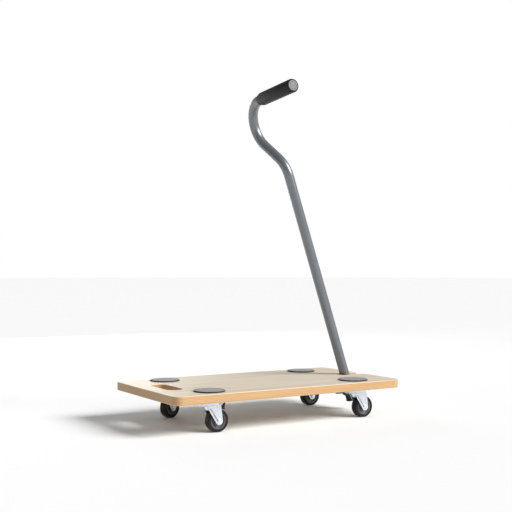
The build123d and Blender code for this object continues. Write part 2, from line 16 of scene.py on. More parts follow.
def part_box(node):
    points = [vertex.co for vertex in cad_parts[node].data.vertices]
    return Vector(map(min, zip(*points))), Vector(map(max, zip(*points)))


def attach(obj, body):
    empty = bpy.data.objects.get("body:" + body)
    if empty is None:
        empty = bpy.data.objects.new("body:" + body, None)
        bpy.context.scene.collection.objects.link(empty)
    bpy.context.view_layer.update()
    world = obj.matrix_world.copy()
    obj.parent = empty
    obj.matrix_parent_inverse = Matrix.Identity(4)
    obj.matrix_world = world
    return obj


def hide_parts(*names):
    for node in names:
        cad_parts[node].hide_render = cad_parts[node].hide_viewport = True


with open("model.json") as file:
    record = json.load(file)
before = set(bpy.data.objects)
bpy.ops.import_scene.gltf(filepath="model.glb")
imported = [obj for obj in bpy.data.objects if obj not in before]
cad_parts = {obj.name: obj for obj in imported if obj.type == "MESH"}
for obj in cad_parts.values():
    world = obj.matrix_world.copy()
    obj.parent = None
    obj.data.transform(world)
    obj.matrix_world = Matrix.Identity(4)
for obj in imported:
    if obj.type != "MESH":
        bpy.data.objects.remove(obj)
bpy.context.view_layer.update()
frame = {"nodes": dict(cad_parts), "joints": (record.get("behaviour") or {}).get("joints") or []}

bl_info = {
    "name": "Folding platform cart",
    "version": (1, 0, 0),
    "blender": (4, 5, 0),
    "location": "View3D > Sidebar > Cart",
    "description": "Builds the visible pieces of a folding platform cart around its packed frame",
    "category": "Add Mesh",
}

JOINTS = {joint["name"]: joint for joint in frame["joints"]}
CORNERS = ("front_right", "front_left", "rear_right", "rear_left")
BRAKED = ("rear_right", "rear_left")
ROUND = 96
SMALL_ROUND = 64
WHITE = (1.0, 1.0, 1.0)
Z_TO_Y = Matrix.Rotation(-pi / 2, 4, "X")
FIT = 0.00005

# Distance across flats, head thickness, thread radius and nut thickness, in metres.
BOLTS = {"hinge": (0.013, 0.0053, 0.004, 0.0065), "stop": (0.0055, 0.002, 0.0015, 0.0024)}


def length(name, description, default):
    """A size in metres that the sidebar can change."""
    return FloatProperty(
        name=name, description=description, default=default, min=0.0, unit="LENGTH", precision=5
    )


def angle(name, description, degrees):
    """An angle that the sidebar can change."""
    return FloatProperty(
        name=name, description=description, default=radians(degrees), subtype="ANGLE"
    )


def number(name, description, default):
    """A plain number that the sidebar can change."""
    return FloatProperty(name=name, description=description, default=default)


def colour(name, description, default):
    """A colour that the sidebar can change."""
    return FloatVectorProperty(
        name=name, description=description, default=default, size=3, min=0.0, max=1.0, subtype="COLOR"
    )


# ---- sizes and colours
class DeckLook(bpy.types.PropertyGroup):
    """Colours and layers of the plywood deck and its pads."""

    plies: IntProperty(name="Plies", description="Veneers in the deck's thickness", default=13, min=3)
    face: colour("Face", "Pale lacquered face of the board", (0.70, 0.62, 0.50))
    grain: colour("Grain", "Darker figure in the face", (0.60, 0.49, 0.36))
    ply: colour("Light ply", "Long-grain veneer on the edge", (0.62, 0.40, 0.20))
    cross_ply: colour("Cross ply", "End-grain veneer on the edge", (0.52, 0.31, 0.14))
    pad: colour("Pad", "Worn grey top of the rubber pads", (0.30, 0.29, 0.28))
    # Near-black colour on the pads' sides: painted shade, not the rubber's own colour.
    pad_rim_painted_shade: colour("Pad rim", "Dark rim of the rubber pads", (0.012, 0.012, 0.013))
    pad_groove: length("Pad groove", "Depth of the ring moulded in each pad", 0.0005)


class HandleLook(bpy.types.PropertyGroup):
    """Sizes and colours of the tube, its grip and its foot."""

    lean: angle("Lean", "Tilt of the tube over the deck", 18.85)
    tube_radius: length("Tube radius", "Outer radius of the tube", 0.012)
    tail: length("Tail", "Tube below the hinge", 0.024)
    rise: length("Rise", "Straight tube above the hinge, up to the neck's first corner", 0.584)
    neck_side: length("Neck side", "How far the neck's far corner stands to the left", 0.182)
    neck_top: length("Neck top", "Height of the neck's far corner along the tube", 0.7394)
    end_side: length("End side", "How far the tube's end stands to the right", 0.117)
    end_top: length("End top", "Height of the tube's end along the tube", 0.7618)
    bend_radius: length("Bend radius", "Centre-line radius of the bends", 0.062)
    grip_radius: length("Grip radius", "Outer radius of the foam grip", 0.016)
    grip_length: length("Grip length", "Whole length of the foam grip", 0.148)
    grip_taper: length("Grip taper", "Length of the taper at the inner end", 0.011)
    grip_lip: length("Grip lip", "Thickness left at the thin end of the taper", 0.0012)
    plug_radius: length("Plug radius", "Radius of the disc that closes the tube", 0.0124)
    plug_thick: length("Plug thickness", "Thickness of that disc", 0.002)
    cap_radius: length("Cap radius", "Sleeve radius of the foot cap", 0.0132)
    cap_rim_radius: length("Cap rim radius", "Floor radius of the foot cap", 0.0142)
    cap_floor: length("Cap floor", "Thickness of the foot cap's floor", 0.0036)
    cap_length: length("Cap length", "Whole length of the foot cap", 0.0166)
    paint: colour("Tube paint", "Satin metallic grey", (0.185, 0.200, 0.220))
    foam: colour("Grip", "Black foam rubber", (0.008, 0.008, 0.009))
    plug: colour("Plug", "Grey moulded disc", (0.125, 0.130, 0.138))


class CasterLook(bpy.types.PropertyGroup):
    """Sizes and colours of the casters."""

    pin_radius: length("Kingpin radius", "Radius of the swivel rivet", 0.0052)
    pin_head_radius: length("Kingpin head", "Radius of the rivet's dome", 0.0065)
    pin_head_top: length("Head top", "Height of the top of the rivet's dome", 0.0512)
    pin_head_bottom: length("Head bottom", "Height of the bottom of the rivet's dome", 0.0475)
    pin_top: length("Kingpin top", "Height of the rivet's upper end", 0.0698)
    bowl_bottom: length("Bowl bottom", "Height of the pressed bowl under the crown", 0.0515)
    bowl_small_radius: length("Bowl bottom radius", "Outer radius of the bowl at its bottom", 0.0085)
    bowl_large_radius: length("Bowl top radius", "Outer radius of the bowl at the crown", 0.012)
    crown_bottom: length("Crown bottom", "Height of the crown's underside", 0.0585)
    crown_top: length("Crown top", "Height of the crown's upper side", 0.0605)
    crown_radius: length("Crown radius", "Radius of the fork's crown", 0.0225)
    race_top: length("Race top", "Height of the lower ball race", 0.06215)
    race_inner: length("Race inner radius", "Inner radius of the ball race", 0.016)
    race_outer: length("Race outer radius", "Outer radius of the ball race", 0.022)
    ball_radius: length("Ball radius", "Radius of a swivel ball", 0.0025)
    ball_ring: length("Ball ring", "Radius of the circle the balls run on", 0.019)
    ball_height: length("Ball height", "Height of the balls' centres", 0.0647)
    ball_count: IntProperty(name="Balls", description="Balls in each swivel race", default=20, min=3)
    leg_inner: length("Leg inner face", "Distance from the wheel's middle plane to a leg", 0.0113)
    leg_thick: length("Leg thickness", "Sheet thickness of the legs", 0.002)
    leg_front: length("Leg front", "How far a leg reaches ahead of the kingpin", 0.008)
    leg_rear: length("Leg rear", "How far a leg's shoulder reaches behind the kingpin", 0.026)
    leg_shoulder: length("Leg shoulder", "Height of a leg's lower shoulder", 0.0575)
    leg_tip: length("Leg tip radius", "Radius of a leg's round end", 0.0086)
    emboss_rim: length("Emboss rim", "Flat rim left round the pressed channel", 0.0036)
    emboss_slope: length("Emboss slope", "Width of the channel's sloping side", 0.0011)
    emboss_depth: length("Emboss depth", "Depth of the pressed channel", 0.0009)
    axle_radius: length("Axle radius", "Radius of the axle", 0.003)
    axle_head_radius: length("Axle head radius", "Radius of the axle's low head", 0.005)
    axle_head_thick: length("Axle head", "Thickness of the axle's head", 0.0016)
    nut_flats: length("Nut", "Distance across the flats of the axle nut", 0.009)
    nut_thick: length("Nut thickness", "Thickness of the axle nut", 0.003)
    axle_proud: length("Axle end", "Threaded end that stands out of the nut", 0.001)
    wheel_radius: length("Wheel radius", "Outer radius of the tyre", 0.025)
    tyre_inner: length("Tyre inner radius", "Radius where tyre meets hub", 0.0185)
    tyre_width: length("Tyre width", "Width of the tyre", 0.019)
    tyre_shoulder: length("Tyre shoulder", "Rounding of the tyre's shoulders", 0.003)
    hub_width: length("Hub width", "Width of the hub's rim", 0.017)
    hub_recess: length("Hub recess radius", "Radius of the hub's dish", 0.0155)
    hub_web: length("Hub web", "Thickness of the web in the dish", 0.008)
    hub_boss: length("Hub boss radius", "Radius of the hub's boss", 0.0065)
    hub_boss_width: length("Hub boss width", "Length of the hub's boss", 0.0216)
    hub_bore: length("Hub bore", "Radius of the bore", 0.00308)
    hub_draft: length("Hub draft", "Slope of the dish's walls", 0.0015)
    zinc: colour("Zinc", "Bright bluish zinc on the pressings", (0.80, 0.84, 0.90))
    tyre: colour("Tyre", "Black rubber", (0.006, 0.006, 0.0065))
    hub: colour("Hub", "Dark grey plastic", (0.095, 0.090, 0.100))
    lever: colour("Brake lever", "Black plastic", (0.010, 0.010, 0.011))


class FastenerLook(bpy.types.PropertyGroup):
    """Sizes and colours of the small hardware and the bracket."""

    screw_head_radius: length("Screw head radius", "Radius of a pan head", 0.0038)
    screw_head_thick: length("Screw head", "Thickness of a pan head", 0.0024)
    screw_recess: length("Cross recess", "Width of the cross recess", 0.0036)
    plate_holes: length("Plate holes", "Distance between screws in a caster plate", 0.048)
    plate_bottom: length("Plate bottom", "Height of the undersides of the plates", 0.0675)
    bolt_chamfer: length("Bolt chamfer", "Chamfer on heads and nuts", 0.0005)
    thread_pitch: length("Thread pitch", "Distance between thread crests", 0.00125)
    zinc: colour("Bolt zinc", "Bright zinc on bolts and nuts", (0.70, 0.72, 0.75))
    steel: colour("Ball steel", "Polished steel", (0.62, 0.63, 0.65))
    bracket: colour("Bracket", "Satin black powder coat", (0.018, 0.018, 0.019))
    nylon: colour("Nylon", "Natural nylon", (0.72, 0.70, 0.64))
    rubber: colour("Stop rubber", "Black rubber", (0.014, 0.014, 0.014))


class StageLook(bpy.types.PropertyGroup):
    """Floor, light and camera."""

    floor: colour("Floor", "Plain pale floor", (0.86, 0.86, 0.86))
    floor_size: length("Floor size", "Radius of the floor", 30.0)
    sky: number("Room light", "Strength of the even light", 0.32)
    backdrop: number("Backdrop", "Brightness of the room in view", 1.0)
    key: number("Key light", "Strength of the main light", 4.6)
    key_spread: angle("Key softness", "Apparent width of the main light", 28)
    low_light: number("Low light", "Power of the low light behind", 16.0)
    lens: number("Lens", "Focal length in millimetres", 65.6)
    camera_place: FloatVectorProperty(
        name="Camera place", description="Where the camera stands", default=(-1.155, -1.887, 0.357),
        size=3, subtype="TRANSLATION",
    )
    camera_heading: angle("Heading", "Camera heading from +Y towards +X", 31.27)
    camera_pitch: angle("Pitch", "Camera pitch above the horizon", 0.68)


# ---- mesh helpers
def turned(bm, outline, place, steps=ROUND):
    """Turn a closed outline of (radius, height) pairs about its own Z axis, and put it in place."""
    verts = [bm.verts.new((radius, 0.0, height)) for radius, height in outline]
    edges = [bm.edges.new(pair) for pair in zip(verts, verts[1:] + verts[:1])]
    bmesh.ops.spin(
        bm, geom=verts + edges, cent=(0, 0, 0), axis=(0, 0, 1), angle=2 * pi, steps=steps,
        use_merge=True,
    )
    made = list(linked_from(verts[0]))
    bmesh.ops.remove_doubles(bm, verts=made, dist=1e-7)
    made = [vert for vert in made if vert.is_valid]
    bmesh.ops.transform(bm, matrix=place, verts=made)


def lathed(outline, place, steps=ROUND):
    """A mesh of one turned outline."""
    bm = bmesh.new()
    turned(bm, outline, place, steps)
    return bm


def only(kind, geom):
    """The vertices, or the edges, in a mixed list."""
    return [item for item in geom if isinstance(item, kind)]


def block(bm, size, centre):
    """A box round its centre."""
    verts = bmesh.ops.create_cube(bm, size=1.0)["verts"]
    bmesh.ops.scale(bm, vec=size, verts=verts)
    bmesh.ops.translate(bm, vec=centre, verts=verts)
    return verts


def linked_from(start):
    """Every vertex joined to start by edges."""
    found, waiting = {start}, [start]
    while waiting:
        for edge in waiting.pop().link_edges:
            for vert in edge.verts:
                if vert not in found:
                    found.add(vert)
                    waiting.append(vert)
    return found


def round_edges(bm, edges, width, segments):
    """Round the given edges."""
    bmesh.ops.bevel(
        bm, geom=edges, offset=width, offset_type="OFFSET", affect="EDGES", segments=segments,
        profile=0.5, material=-1, clamp_overlap=True,
    )


def hexagon(bm, flats, thick, place):
    """A hexagonal head or nut whose lower face is at place, along its Z axis."""
    radius = flats / 2 / cos(pi / 6)
    bmesh.ops.create_cone(
        bm, cap_ends=True, segments=6, radius1=radius, radius2=radius,
        depth=thick, matrix=place @ Matrix.Translation((0, 0, thick / 2)),
    )


def threaded(radius, start, end, pitch):
    """The outline, from start to end, of a threaded rod with a plain axis side."""
    outline = [(0.0, start), (radius, start)]
    depth = 0.3 * pitch
    turns = int((end - start) / pitch)
    for turn in range(turns):
        low = start + turn * pitch
        outline += [(radius, low + 0.15 * pitch), (radius - depth, low + 0.5 * pitch)]
        outline += [(radius, low + 0.85 * pitch)]
    return outline + [(radius - depth, end), (0.0, end)]


def shown(name, data):
    """A new object in the scene."""
    made = bpy.data.objects.new(name, data)
    bpy.context.scene.collection.objects.link(made)
    return made


def meshed(name, bm, material):
    """A new object made of a bmesh, which is used up."""
    mesh = bpy.data.meshes.new(name)
    bm.to_mesh(mesh)
    bm.free()
    mesh.materials.append(material)
    return shown(name, mesh)


def piece(name, bm, material, body, nodes, soft_edge=0.0):
    """Make a finished object of a bmesh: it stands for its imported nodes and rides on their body."""
    bmesh.ops.recalc_face_normals(bm, faces=bm.faces)
    made = meshed(name, bm, material)
    made.data.shade_smooth()
    if soft_edge > 0:
        bevel = made.modifiers.new("soft_edges", "BEVEL")
        bevel.width = soft_edge
        bevel.segments = 3
        bevel.limit_method = "ANGLE"
        bevel.angle_limit = radians(30)
        bevel.harden_normals = True
    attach(made, body)
    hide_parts(*nodes)
    return made


def dress(material, *nodes):
    """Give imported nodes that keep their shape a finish."""
    for name in nodes:
        materials = frame["nodes"][name].data.materials
        materials.clear()
        materials.append(material)


# ---- places
def caster_turn(corner):
    """How the caster stands turned about its kingpin, read from its axle."""
    axis = JOINTS[f"wheel_{corner}_spin"]["axis"]
    return Matrix.Rotation(atan2(-axis[0], axis[1]), 4, "Z")


def caster_place(corner):
    """The caster's own frame: kingpin on its Z axis, wheel towards its +X."""
    kingpin = JOINTS[f"swivel_{corner}_turn"]["pos_m"]
    return Matrix.Translation((kingpin[0], kingpin[1], 0.0)) @ caster_turn(corner)


def axle_place(corner):
    """The wheel's own frame: Z along the axle to the left, origin in the wheel's middle."""
    middle = JOINTS[f"wheel_{corner}_spin"]["pos_m"]
    return Matrix.Translation(middle) @ caster_turn(corner) @ Z_TO_Y


def handle_place(look):
    """The handle's own plane: X to the left, Y along the tube, origin on the hinge."""
    along = Vector((-sin(look.lean), 0.0, cos(look.lean)))
    out = Vector((cos(look.lean), 0.0, sin(look.lean)))
    turn = Matrix((Vector((0.0, 1.0, 0.0)), along, out)).transposed().to_4x4()
    return Matrix.Translation(JOINTS["handle_fold"]["pos_m"]) @ turn


def handle_corners(look):
    """The corners of the tube's line in the handle's plane, from the tail to the grip end."""
    return [
        Vector((0.0, -look.tail, 0.0)),
        Vector((0.0, look.rise, 0.0)),
        Vector((look.neck_side, look.neck_top, 0.0)),
        Vector((-look.end_side, look.end_top, 0.0)),
    ]


def grip_place(look):
    """The grip's own frame: Z outwards along the tube, origin at the tube's end."""
    corners = handle_corners(look)
    outwards = (corners[-1] - corners[-2]).normalized()
    turn = outwards.to_track_quat("Z", "Y").to_matrix().to_4x4()
    return handle_place(look) @ Matrix.Translation(corners[-1]) @ turn


# ---- material helpers
def finish(name, **values):
    """A new material, its node tree, its shader with plain values set, and the place on the object."""
    material = bpy.data.materials.new(name)
    material.use_nodes = True
    shader = material.node_tree.nodes["Principled BSDF"]
    for socket, value in values.items():
        shader.inputs[socket.replace("_", " ")].default_value = value
    place = add(material.node_tree, "ShaderNodeTexCoord", {}).outputs["Object"]
    return material, material.node_tree, shader, place


def add(tree, kind, inputs, **settings):
    """Add a node, with its settings and its inputs given as values or as other nodes' sockets."""
    node = tree.nodes.new(kind)
    for setting, value in settings.items():
        setattr(node, setting, value)
    for socket, value in inputs.items():
        if isinstance(value, bpy.types.NodeSocket):
            tree.links.new(value, node.inputs[socket])
        else:
            node.inputs[socket].default_value = value
    return node


def arithmetic(tree, operation, first, second=0.0):
    """The result of a sum on one or two values."""
    return add(tree, "ShaderNodeMath", {0: first, 1: second}, operation=operation).outputs[0]


def ramp(tree, factor, *stops):
    """A colour ramp with stops of (position, colour)."""
    node = add(tree, "ShaderNodeValToRGB", {"Fac": factor})
    elements = node.color_ramp.elements
    while len(elements) < len(stops):
        elements.new(1.0)
    for element, (position, shade) in zip(elements, stops):
        element.position = position
        element.color = (*shade, 1.0)
    return node.outputs["Color"]


def mixed(tree, factor, first, second, blend="MIX"):
    """Two colours mixed."""
    node = add(tree, "ShaderNodeMix", {0: factor}, data_type="RGBA", blend_type=blend)
    for socket, value in ((6, first), (7, second)):
        if isinstance(value, bpy.types.NodeSocket):
            tree.links.new(value, node.inputs[socket])
        else:
            node.inputs[socket].default_value = (*value, 1.0)
    return node.outputs[2]


def noise(tree, vector, scale, detail=3.0, roughness=0.5):
    """A noise pattern's height."""
    inputs = {"Vector": vector, "Scale": scale, "Detail": detail, "Roughness": roughness}
    return add(tree, "ShaderNodeTexNoise", inputs).outputs["Fac"]


def stretched(tree, vector, scale):
    """A vector scaled along each axis, so that a pattern runs out along one of them."""
    return add(tree, "ShaderNodeMapping", {"Vector": vector, "Scale": scale}).outputs["Vector"]


def bumpy(tree, shader, height, strength, distance):
    """Raise the surface by a height pattern, over a distance in metres."""
    inputs = {"Height": height, "Strength": strength, "Distance": distance}
    bump = add(tree, "ShaderNodeBump", inputs)
    tree.links.new(bump.outputs["Normal"], shader.inputs["Normal"])


def spread(tree, factor, low, high):
    """A 0 to 1 pattern brought to a range."""
    inputs = {"Value": factor, "To Min": low, "To Max": high}
    return add(tree, "ShaderNodeMapRange", inputs).outputs["Result"]


def tint(base, amount):
    """A colour made darker or lighter."""
    return [min(1.0, part * amount) for part in base]


def toned(tree, pattern, base, tones, stops):
    """A colour that drifts between two of its tones as a pattern does."""
    pairs = [(stop, tint(base, amount)) for stop, amount in zip(stops, tones)]
    return ramp(tree, pattern, *pairs)


def cover(tree, shader, tone, pattern, roughness):
    """Give the surface its colour, and a roughness that runs with a pattern."""
    tree.links.new(tone, shader.inputs["Base Color"])
    tree.links.new(spread(tree, pattern, *roughness), shader.inputs["Roughness"])


def height_in(tree, vector):
    """A vector's Z."""
    return add(tree, "ShaderNodeSeparateXYZ", {"Vector": vector}).outputs["Z"]


def facing_up(tree):
    """How far the surface faces up, from -1 to 1."""
    return height_in(tree, add(tree, "ShaderNodeTexCoord", {}).outputs["Normal"])


# ---- materials
def plywood(look, box):
    """Clear-lacquered plywood: long fine figure on the faces and stacked veneers on the edges."""
    material, tree, shader, place = finish(
        "lacquered_plywood", Coat_Weight=0.16, Coat_Roughness=0.30, Specular_IOR_Level=0.3
    )
    figure = noise(tree, stretched(tree, place, (3.0, 34.0, 34.0)), 1.0, 5.0, 0.55)
    pores = noise(tree, stretched(tree, place, (60.0, 1500.0, 1500.0)), 1.0, 2.0, 0.6)
    face = ramp(tree, figure, (0.32, look.grain), (0.52, look.face), (0.85, look.face))
    face = mixed(tree, spread(tree, pores, 0.0, 0.22), face, look.grain)

    bottom, top = box
    waver = noise(tree, stretched(tree, place, (4.0, 4.0, 10.0)), 1.0, 1.0)
    above = arithmetic(tree, "SUBTRACT", height_in(tree, place), bottom.z)
    layer = arithmetic(tree, "MULTIPLY", above, look.plies / (top.z - bottom.z))
    layer = arithmetic(tree, "ADD", layer, arithmetic(tree, "MULTIPLY", waver, 0.3))
    pair = arithmetic(tree, "FRACT", arithmetic(tree, "MULTIPLY", layer, 0.5))
    glue = tint(look.cross_ply, 0.62)
    veneers = ramp(
        tree, pair, (0.0, glue), (0.05, look.ply), (0.46, look.ply), (0.50, glue),
        (0.55, look.cross_ply), (0.96, look.cross_ply), (1.0, glue),
    )
    streaks = noise(tree, stretched(tree, place, (9.0, 9.0, 1500.0)), 1.0, 4.0, 0.7)
    streaky = ramp(tree, streaks, (0.36, (0.78, 0.74, 0.70)), (0.56, WHITE))
    veneers = mixed(tree, 0.8, veneers, streaky, "MULTIPLY")

    upright = facing_up(tree)
    is_face = spread(tree, arithmetic(tree, "ABSOLUTE", upright), -0.8, 1.5)
    cover(tree, shader, mixed(tree, is_face, veneers, face), figure, (0.34, 0.52))
    bumpy(tree, shader, arithmetic(tree, "ADD", pores, streaks), 0.25, 0.0002)
    return material


def pad_rubber(look):
    """Grey rubber discs: scuffed on top, with painted shade making the rim nearly black."""
    material, tree, shader, place = finish("pad_rubber", Specular_IOR_Level=0.35)
    scuffs = noise(tree, place, 220.0, 6.0, 0.7)
    top = toned(tree, scuffs, look.pad, (0.72, 1.2), (0.35, 0.65))
    upright = facing_up(tree)
    # Faces that don't face up get the near-black rim colour: painted shade on the pads' sides.
    top_vs_painted_shade = add(
        tree, "ShaderNodeMapRange", {"Value": upright, "From Min": 0.75, "From Max": 0.97}
    ).outputs["Result"]
    cover(tree, shader, mixed(tree, top_vs_painted_shade, look.pad_rim_painted_shade, top), scuffs, (0.55, 0.85))
    bumpy(tree, shader, noise(tree, place, 2500.0, 2.0), 0.3, 0.0001)
    return material


def tube_paint(look):
    """Satin metallic paint: fine flake under a soft clear coat."""
    material, tree, shader, place = finish(
        "tube_paint", Metallic=0.55, Coat_Weight=0.3, Coat_Roughness=0.18
    )
    flake = noise(tree, place, 5200.0, 1.0, 0.5)
    clouding = noise(tree, place, 26.0, 3.0, 0.5)
    base = toned(tree, flake, look.paint, (0.86, 1.16), (0.38, 0.62))
    cloudy = toned(tree, clouding, WHITE, (0.93, 1.0), (0.3, 0.7))
    cover(tree, shader, mixed(tree, 1.0, base, cloudy, "MULTIPLY"), clouding, (0.27, 0.40))
    bumpy(tree, shader, noise(tree, place, 700.0, 2.0), 0.08, 0.0001)
    return material


def foam_rubber(name, base, roughness, cell):
    """Closed-cell foam: tiny skin cells that catch a soft sheen."""
    material, tree, shader, place = finish(
        name, Sheen_Weight=0.03, Sheen_Roughness=0.4, Specular_IOR_Level=0.22
    )
    cells = add(
        tree, "ShaderNodeTexVoronoi", {"Vector": place, "Scale": 1.0 / cell}
    ).outputs["Distance"]
    patches = noise(tree, place, 90.0, 4.0, 0.6)
    tone = toned(tree, patches, base, (0.7, 1.7), (0.3, 0.7))
    cover(tree, shader, tone, patches, (roughness - 0.06, roughness + 0.08))
    bumpy(tree, shader, cells, 0.10, 0.00008)
    return material


def moulded(name, base, roughness):
    """Moulded plastic with a fine spark-eroded skin and slight colour drift."""
    material, tree, shader, place = finish(name, Specular_IOR_Level=0.45)
    skin = noise(tree, place, 3200.0, 2.0, 0.6)
    drift = noise(tree, place, 60.0, 3.0, 0.5)
    tone = toned(tree, drift, base, (0.82, 1.22), (0.3, 0.7))
    cover(tree, shader, tone, drift, (roughness - 0.05, roughness + 0.07))
    bumpy(tree, shader, skin, 0.2, 0.00008)
    return material


def plated(name, base, roughness, brushing):
    """Bright plated steel: cloudy tone, faint brushing and small stains."""
    material, tree, shader, place = finish(name, Metallic=0.92)
    clouds = noise(tree, place, 120.0, 4.0, 0.6)
    brushed = noise(tree, stretched(tree, place, (400.0, 400.0, 4200.0)), 1.0, 2.0, 0.5)
    tone = toned(tree, clouds, base, (0.86, 1.08), (0.3, 0.7))
    stains = ramp(tree, noise(tree, place, 700.0, 2.0), (0.22, (0.55, 0.55, 0.56)), (0.34, WHITE))
    tone = mixed(tree, 0.6, tone, stains, "MULTIPLY")
    cover(tree, shader, tone, clouds, (roughness - 0.06, roughness + 0.10))
    bumpy(tree, shader, brushed, brushing, 0.00006)
    return material


def powder_coat(name, base):
    """Satin powder coat with its orange-peel skin."""
    material, tree, shader, place = finish(name, Coat_Weight=0.15, Coat_Roughness=0.3)
    peel = noise(tree, place, 900.0, 2.0, 0.5)
    dust = noise(tree, place, 70.0, 5.0, 0.6)
    cover(tree, shader, toned(tree, dust, base, (0.8, 1.6), (0.35, 0.7)), dust, (0.34, 0.48))
    bumpy(tree, shader, peel, 0.25, 0.0001)
    return material


def tyre_rubber(look):
    """Black rubber tread: patchy wear in its tone and roughness, and a fine grain."""
    material, tree, shader, place = finish("tyre_rubber", Specular_IOR_Level=0.32)
    wear = noise(tree, place, 160.0, 5.0, 0.65)
    cover(tree, shader, toned(tree, wear, look.tyre, (0.8, 2.2), (0.4, 0.75)), wear, (0.22, 0.42))
    bumpy(tree, shader, noise(tree, place, 1800.0, 3.0), 0.15, 0.0001)
    return material


def bolt_zinc(look):
    """The bright zinc shared by screws, bolts and nuts."""
    return bpy.data.materials.get("bolt_zinc") or plated("bolt_zinc", look.zinc, 0.30, 0.05)


def caster_zinc(look):
    """The bluish zinc shared by the caster's pressings."""
    return bpy.data.materials.get("caster_zinc") or plated("caster_zinc", look.zinc, 0.30, 0.10)


# ---- operators: deck
class CART_OT_deck(bpy.types.Operator):
    """Finish the plywood deck"""

    bl_idname = "cart.deck"
    bl_label = "Deck board"

    def execute(self, context):
        dress(plywood(context.scene.cart_deck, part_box("deck_board")), "deck_board")
        return {"FINISHED"}


class CART_OT_pads(bpy.types.Operator):
    """Make the four round load pads"""

    bl_idname = "cart.pads"
    bl_label = "Load pads"

    def execute(self, context):
        look = context.scene.cart_deck
        rubber = pad_rubber(look)
        for corner in CORNERS:
            low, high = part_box(f"pad_{corner}")
            radius = (high.x - low.x) / 2
            top = high.z
            edge = 0.0009
            groove = radius - 0.0045
            outline = [
                (0.0, low.z), (radius - 0.0003, low.z), (radius, low.z + 0.0004),
                (radius, top - edge), (radius - 0.3 * edge, top - 0.3 * edge), (radius - edge, top),
                (groove + 0.0006, top), (groove, top - look.pad_groove), (groove - 0.0006, top),
                (0.0, top),
            ]
            centre = (low + high) / 2
            bm = lathed(outline, Matrix.Translation((centre.x, centre.y, 0.0)))
            piece(
                f"load_pad_{corner}", bm, rubber, "deck", [f"pad_{corner}"],
                soft_edge=0.0002,
            )
        return {"FINISHED"}


# ---- operators: handle
class CART_OT_tube(bpy.types.Operator):
    """Bend the handle's tube"""

    bl_idname = "cart.tube"
    bl_label = "Handle tube"

    sides = 64
    bend_step = radians(3)

    def execute(self, context):
        look = context.scene.cart_handle
        corners = handle_corners(look)
        bm = bmesh.new()
        upright = Matrix.Rotation(pi / 2, 4, "X")
        ring = bmesh.ops.create_circle(
            bm, cap_ends=False, segments=self.sides, radius=look.tube_radius,
            matrix=Matrix.Translation(corners[0]) @ upright,
        )["verts"]
        front = list({edge for vert in ring for edge in vert.link_edges})
        first = list(front)
        heading = (corners[1] - corners[0]).normalized()
        reached = corners[0]
        for corner, beyond in zip(corners[1:], corners[2:] + [None]):
            cut = 0.0
            if beyond is not None:
                after = (beyond - corner).normalized()
                bend = heading.angle(after)
                cut = look.bend_radius * tan(bend / 2)
            run = (corner - reached).length - cut
            made = bmesh.ops.extrude_edge_only(bm, edges=front)["geom"]
            moved = only(BMVert, made)
            bmesh.ops.translate(bm, vec=heading * run, verts=moved)
            front = only(BMEdge, made)
            reached = corner - heading * cut
            if beyond is None:
                break
            axis = heading.cross(after).normalized()
            centre = reached + axis.cross(heading) * look.bend_radius
            last = bmesh.ops.spin(
                bm, geom=moved + front, cent=centre, axis=axis, angle=bend,
                steps=max(4, round(bend / self.bend_step)),
            )["geom_last"]
            front = only(BMEdge, last)
            heading = after
            reached = corner + heading * cut
        bmesh.ops.contextual_create(bm, geom=first)
        bmesh.ops.contextual_create(bm, geom=front)
        bmesh.ops.transform(bm, matrix=handle_place(look), verts=bm.verts)
        piece(
            "gooseneck_tube", bm, tube_paint(look), "handle", ["handle_tube"],
            soft_edge=0.0003,
        )
        return {"FINISHED"}


class CART_OT_grip(bpy.types.Operator):
    """Make the foam grip and the disc that closes the tube"""

    bl_idname = "cart.grip"
    bl_label = "Hand grip"

    def execute(self, context):
        look = context.scene.cart_handle
        place = grip_place(look)
        outer = look.plug_thick
        inner = outer - look.grip_length
        outline = [
            (look.tube_radius, inner), (look.tube_radius + look.grip_lip, inner),
            (look.grip_radius - 0.0016, inner + look.grip_taper - 0.004),
            (look.grip_radius, inner + look.grip_taper + 0.001),
            (look.grip_radius, outer - 0.0042), (look.grip_radius - 0.0008, outer - 0.0016),
            (look.grip_radius - 0.0028, outer), (look.plug_radius, outer),
            (look.plug_radius, 0.0), (look.tube_radius, 0.0),
        ]
        foam = foam_rubber("grip_foam", look.foam, 0.52, 0.0009)
        grip = piece(
            "foam_grip", lathed(outline, place), foam, "handle", ["hand_grip"],
            soft_edge=0.0008,
        )

        ring = look.plug_radius * 0.66
        outline = [
            (0.0, -0.012), (look.tube_radius - 0.0016, -0.012), (look.tube_radius - 0.0016, 0.0),
            (look.plug_radius - 0.0001, 0.0), (look.plug_radius - 0.0001, outer - 0.0005),
            (look.plug_radius - 0.0006, outer), (ring + 0.0007, outer),
            (ring + 0.0003, outer - 0.0004), (ring - 0.0003, outer - 0.0004),
            (ring - 0.0007, outer), (0.0014, outer),
            (0.0008, outer - 0.0005), (0.0, outer - 0.0005),
        ]
        plug = moulded("plug_plastic", look.plug, 0.42)
        piece(
            "grip_end_disc", lathed(outline, place), plug, "handle",
            ["grip_end_plug"], soft_edge=0.0001,
        )
        return {"FINISHED"}


